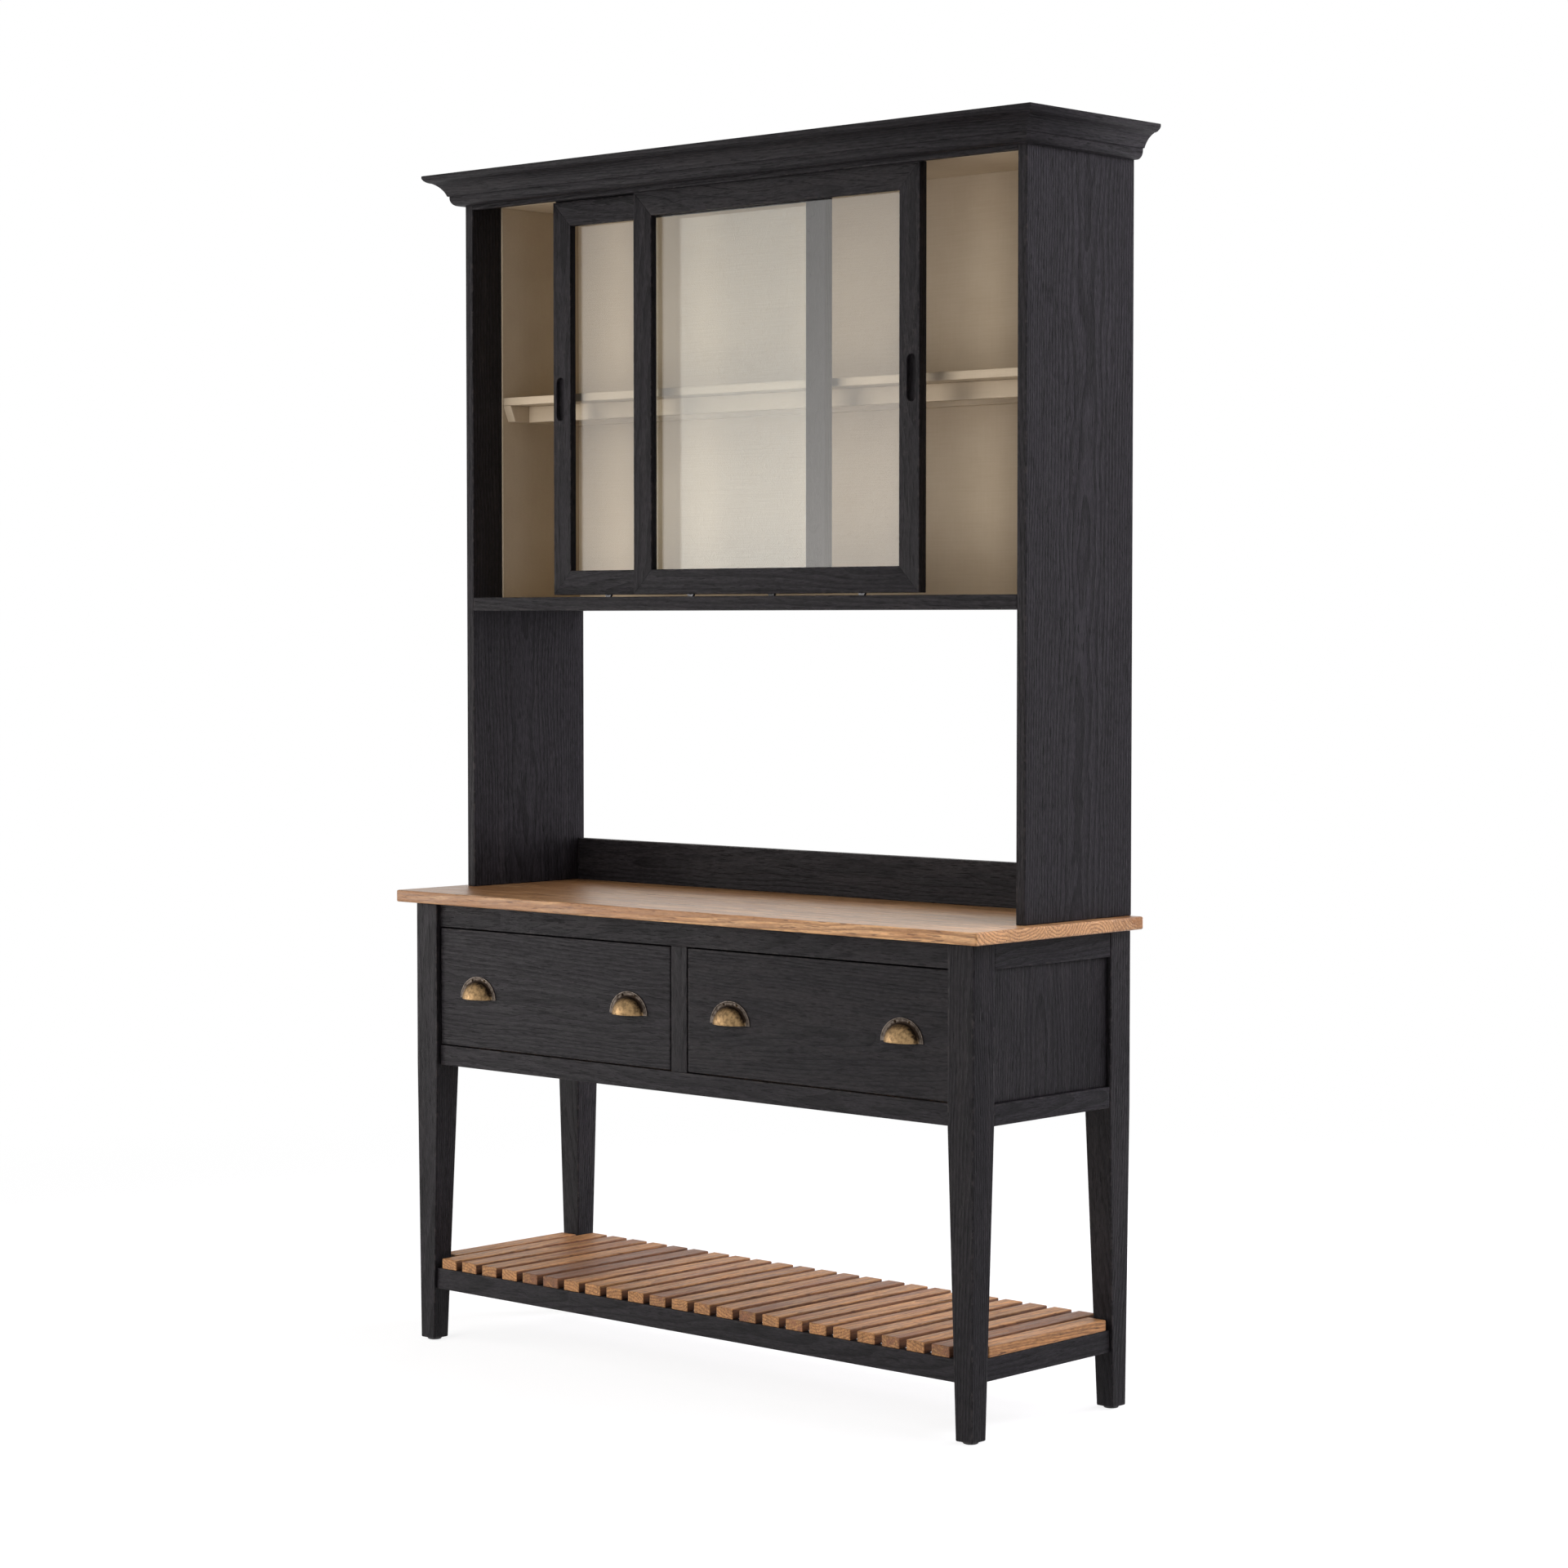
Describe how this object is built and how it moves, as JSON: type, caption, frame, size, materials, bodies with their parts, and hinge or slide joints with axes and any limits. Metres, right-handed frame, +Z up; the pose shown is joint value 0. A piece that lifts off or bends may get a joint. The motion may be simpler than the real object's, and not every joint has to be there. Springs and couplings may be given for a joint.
{
  "type": "dresser with hutch",
  "caption": "Tall kitchen dresser: table-height base with drawers and a slatted low shelf, and a glazed sliding-door wall cabinet held over an open bay by full-height sides.",
  "frame": {"origin": "on the floor, under the middle of the worktop's width and depth", "axes": "+X to the right seen from the front, +Y to the back (drawers open along -Y), +Z up"},
  "size_m": [1.4586, 0.446, 2.178],
  "materials": {
    "black_wood": "black stained open-grain wood, satin",
    "worktop_wood": "oiled oak, satin",
    "slat_wood": "mixed reclaimed boards, matt oil",
    "cream_paint": "cream painted, satin",
    "drawer_wood": "plain sanded softwood",
    "antique_brass": "aged brass, brushed",
    "door_glass": "clear float glass",
    "track_aluminium": "anodised, satin",
    "roller_steel": "turned steel",
    "glide_plastic": "matt black"
  },
  "bodies": {
    "carcass": {"leg_front_left": "black_wood", "leg_front_right": "black_wood", "leg_back_left": "black_wood", "leg_back_right": "black_wood", "foot_glide_front_left": "glide_plastic", "foot_glide_front_right": "glide_plastic", "foot_glide_back_left": "glide_plastic", "foot_glide_back_right": "glide_plastic", "worktop": "worktop_wood", "front_top_rail": "black_wood", "front_bottom_rail": "black_wood", "drawer_divider": "black_wood", "end_top_rail_left": "black_wood", "end_top_rail_right": "black_wood", "end_bottom_rail_left": "black_wood", "end_bottom_rail_right": "black_wood", "end_panel_left": "black_wood", "end_panel_right": "black_wood", "base_back": "black_wood", "drawer_runner_left": "drawer_wood", "drawer_runner_centre": "drawer_wood", "drawer_runner_right": "drawer_wood", "shelf_rail_front": "black_wood", "shelf_rail_back": "black_wood", "shelf_rail_left": "black_wood", "shelf_rail_right": "black_wood", "slat_shelf": "slat_wood", "hutch_side_left": "black_wood", "hutch_side_right": "black_wood", "splash_board": "black_wood", "cabinet_floor": "black_wood", "cabinet_ceiling": "black_wood", "hutch_top": "black_wood", "cabinet_back": "cream_paint", "cabinet_lining_left": "cream_paint", "cabinet_lining_right": "cream_paint", "inner_shelf": "cream_paint", "shelf_support": "cream_paint", "cornice_front": "black_wood", "cornice_left": "black_wood", "cornice_right": "black_wood", "bottom_track": "track_aluminium"},
    "drawer_left": {"drawer_front_left": "black_wood", "drawer_box_left": "drawer_wood", "drawer_bottom_left": "drawer_wood", "cup_pull_left_outer": "antique_brass", "cup_pull_left_inner": "antique_brass"},
    "drawer_right": {"drawer_front_right": "black_wood", "drawer_box_right": "drawer_wood", "drawer_bottom_right": "drawer_wood", "cup_pull_right_outer": "antique_brass", "cup_pull_right_inner": "antique_brass"},
    "door_left": {"door_frame_left": "black_wood", "door_glass_left": "door_glass"},
    "door_right": {"door_frame_right": "black_wood", "door_glass_right": "door_glass"},
    "door_left_wheel_left": {"door_left_roller_left": "roller_steel"},
    "door_left_wheel_right": {"door_left_roller_right": "roller_steel"},
    "door_right_wheel_left": {"door_right_roller_left": "roller_steel"},
    "door_right_wheel_right": {"door_right_roller_right": "roller_steel"}
  },
  "joints": [
    {"name": "drawer_left_slide", "type": "slide", "parent": "carcass", "child": "drawer_left", "axis": [0, -1, 0], "range_m": [0, 0.28]},
    {"name": "drawer_right_slide", "type": "slide", "parent": "carcass", "child": "drawer_right", "axis": [0, -1, 0], "range_m": [0, 0.28]},
    {"name": "door_left_slide", "type": "slide", "parent": "carcass", "child": "door_left", "axis": [1, 0, 0], "range_m": [-0.175, 0.456]},
    {"name": "door_right_slide", "type": "slide", "parent": "carcass", "child": "door_right", "axis": [1, 0, 0], "range_m": [-0.4085, 0.2225]},
    {"name": "door_left_wheel_left_turn", "type": "hinge", "parent": "door_left", "child": "door_left_wheel_left", "pos_m": [-0.344, -0.0165, 1.3943], "axis": [0, 1, 0], "range_deg": [-3300, 3300]},
    {"name": "door_left_wheel_right_turn", "type": "hinge", "parent": "door_left", "child": "door_left_wheel_right", "pos_m": [0.063, -0.0165, 1.3943], "axis": [0, 1, 0], "range_deg": [-3300, 3300]},
    {"name": "door_right_wheel_left_turn", "type": "hinge", "parent": "door_right", "child": "door_right_wheel_left", "pos_m": [-0.1105, -0.0415, 1.3943], "axis": [0, 1, 0], "range_deg": [-3300, 3300]},
    {"name": "door_right_wheel_right_turn", "type": "hinge", "parent": "door_right", "child": "door_right_wheel_right", "pos_m": [0.2965, -0.0415, 1.3943], "axis": [0, 1, 0], "range_deg": [-3300, 3300]}
  ],
  "couplings": [
    {"joint": "door_left_wheel_left_turn", "follows": "door_left_slide", "rad_per_m": 125},
    {"joint": "door_left_wheel_right_turn", "follows": "door_left_slide", "rad_per_m": 125},
    {"joint": "door_right_wheel_left_turn", "follows": "door_right_slide", "rad_per_m": 125},
    {"joint": "door_right_wheel_right_turn", "follows": "door_right_slide", "rad_per_m": 125}
  ]
}
